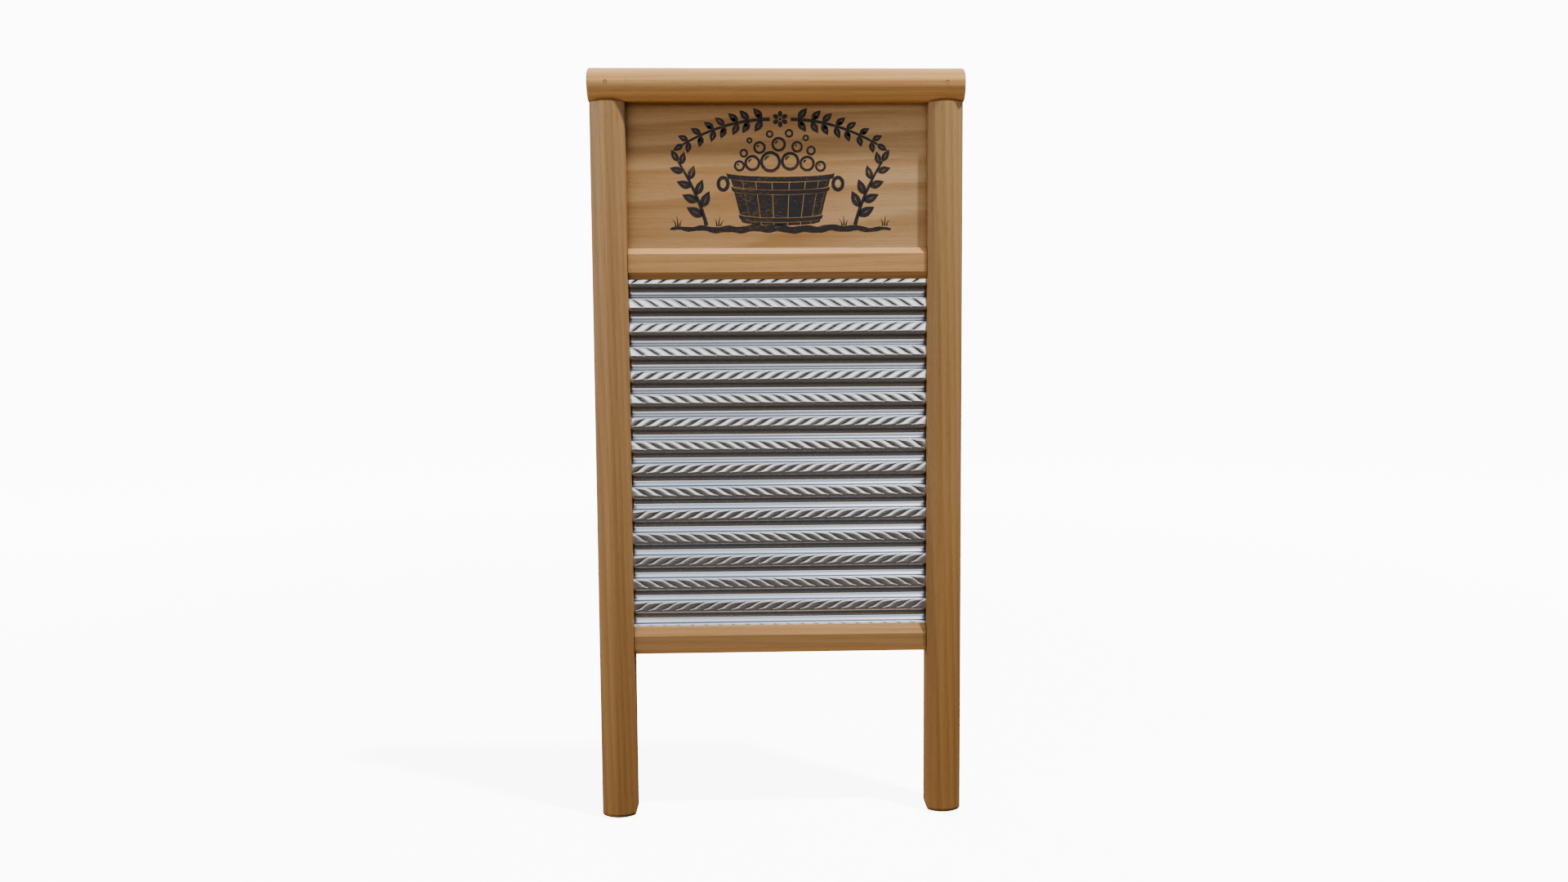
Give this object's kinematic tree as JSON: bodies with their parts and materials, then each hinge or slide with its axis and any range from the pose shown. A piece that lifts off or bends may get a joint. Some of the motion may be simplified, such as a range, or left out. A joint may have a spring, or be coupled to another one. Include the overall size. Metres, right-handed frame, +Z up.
{
  "type": "washboard",
  "caption": "Free-standing wooden washboard with a round top rail, a plain header panel and a ribbed metal rubbing sheet held between grooved posts.",
  "frame": {"origin": "middle of the base, on the floor that the posts' feet stand on", "axes": "+Z up along the posts to the top rail, -Y out of the rubbing front, +X to the right of someone facing the front"},
  "size_m": [0.3, 0.029, 0.61],
  "materials": {
    "left_post": "satin",
    "right_post": "satin",
    "top_rail": "satin",
    "header_panel": "satin",
    "middle_rail": "satin",
    "bottom_rail": "satin",
    "ribbed_sheet": "bright galvanised",
    "nails": "dull"
  },
  "bodies": {
    "root": {"left_post": "left_post", "right_post": "right_post", "top_rail": "top_rail", "header_panel": "header_panel", "middle_rail": "middle_rail", "bottom_rail": "bottom_rail", "ribbed_sheet": "ribbed_sheet", "middle_rail_nail_left_lower": "nails", "middle_rail_nail_left_upper": "nails", "middle_rail_nail_right_lower": "nails", "middle_rail_nail_right_upper": "nails", "bottom_rail_nail_left_lower": "nails", "bottom_rail_nail_left_upper": "nails", "bottom_rail_nail_right_lower": "nails", "bottom_rail_nail_right_upper": "nails", "top_rail_brad_left": "nails", "top_rail_brad_right": "nails"}
  },
  "joints": []
}
